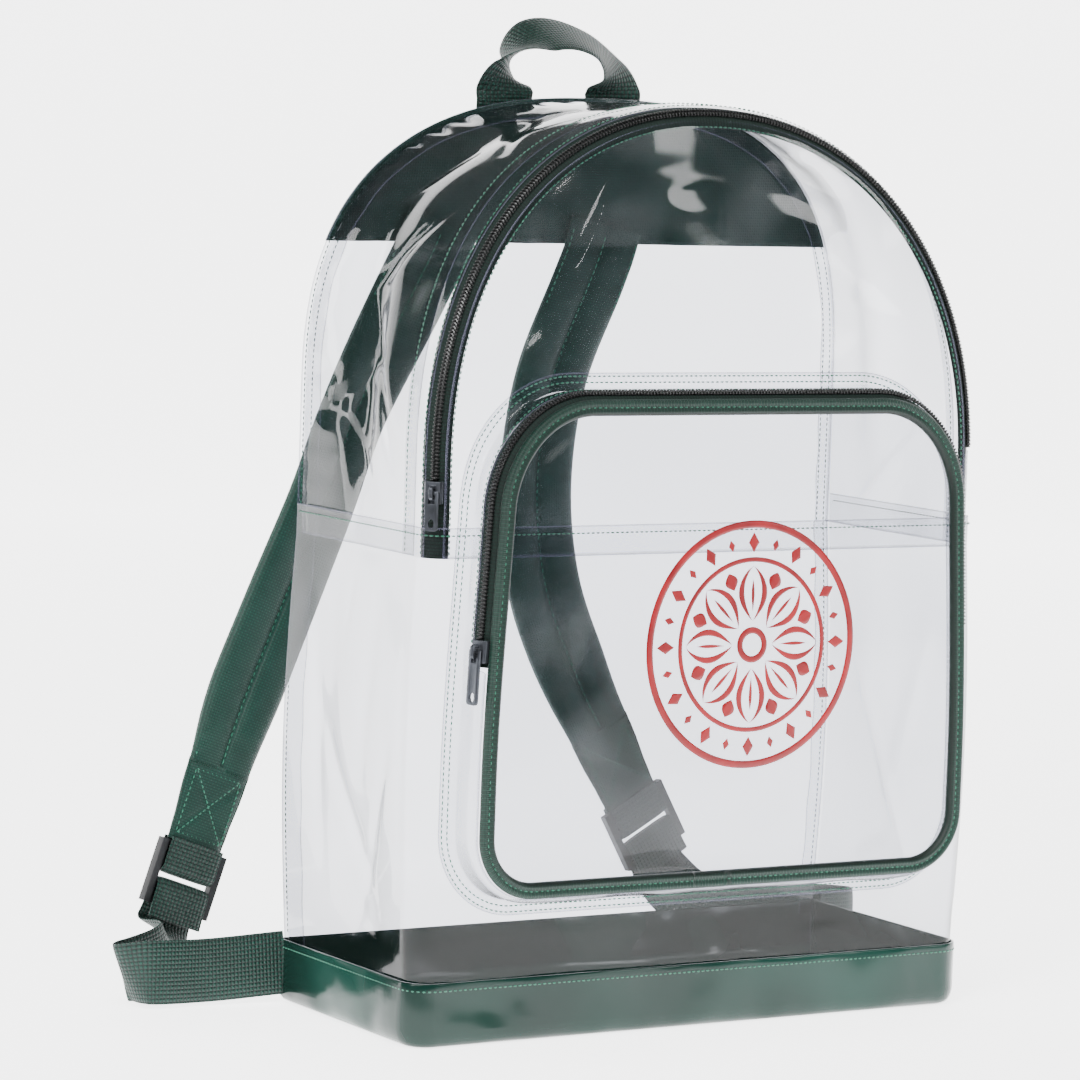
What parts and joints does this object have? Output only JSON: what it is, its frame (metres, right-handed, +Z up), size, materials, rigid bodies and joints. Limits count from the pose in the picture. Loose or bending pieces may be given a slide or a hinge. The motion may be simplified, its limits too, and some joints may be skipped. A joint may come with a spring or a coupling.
{
  "type": "clear stadium backpack",
  "caption": "Transparent vinyl backpack with a green base, arched coil zip, clear front pocket, webbing carrying handle and padded shoulder straps with ladder buckles.",
  "frame": {"origin": "centre of the base's flat underside", "axes": "+Z up along the bag, -Y out of the front with its pocket, +X to the right seen from the front"},
  "size_m": [0.4178, 0.1984, 0.4643],
  "materials": {
    "clear_vinyl": "clear, soft and glossy",
    "green_vinyl": "glossy dark green vinyl",
    "green_cloth": "dark green nylon cloth",
    "green_webbing": "dark green woven webbing",
    "zip_coil": "black nylon coil",
    "black_plastic": "moulded black plastic",
    "gunmetal": "dark plated zinc",
    "red_ink": "screen-printed red ink"
  },
  "bodies": {
    "bag": {"base_tub": "green_vinyl", "lower_body": "clear_vinyl", "back_panel": "clear_vinyl", "yoke": "green_cloth", "upper_gusset": "clear_vinyl", "zip_strip": "clear_vinyl", "front_upper_panel": "clear_vinyl", "main_zip_tape": "green_cloth", "main_zip_teeth": "zip_coil", "main_zip_slider": "gunmetal", "zip_end_tab": "clear_vinyl", "pocket_gusset": "clear_vinyl", "pocket_face": "clear_vinyl", "pocket_binding": "green_cloth", "pocket_zip_tape": "green_cloth", "pocket_zip_teeth": "zip_coil", "pocket_zip_slider": "gunmetal", "handle": "green_webbing", "left_shoulder_pad": "green_cloth", "left_pad_tab": "green_cloth", "left_buckle_loop": "green_webbing", "left_buckle": "black_plastic", "left_strap_webbing": "green_webbing", "right_shoulder_pad": "green_cloth", "right_pad_tab": "green_cloth", "right_buckle_loop": "green_webbing", "right_buckle": "black_plastic", "right_strap_webbing": "green_webbing"},
    "main_pull": {"main_zip_pull": "gunmetal"},
    "pocket_pull": {"pocket_zip_pull": "gunmetal"}
  },
  "joints": [
    {"name": "main_pull_swing", "type": "hinge", "parent": "bag", "child": "main_pull", "pos_m": [-0.14911, -0.06053, 0.25073], "axis": [-0.7071, 0.7071, -0.0072], "range_deg": [0, 150]},
    {"name": "pocket_pull_swing", "type": "hinge", "parent": "bag", "child": "pocket_pull", "pos_m": [-0.13517, -0.0792, 0.18182], "axis": [-0.2814, 0.9595, 0.0102], "range_deg": [0, 150]}
  ]
}
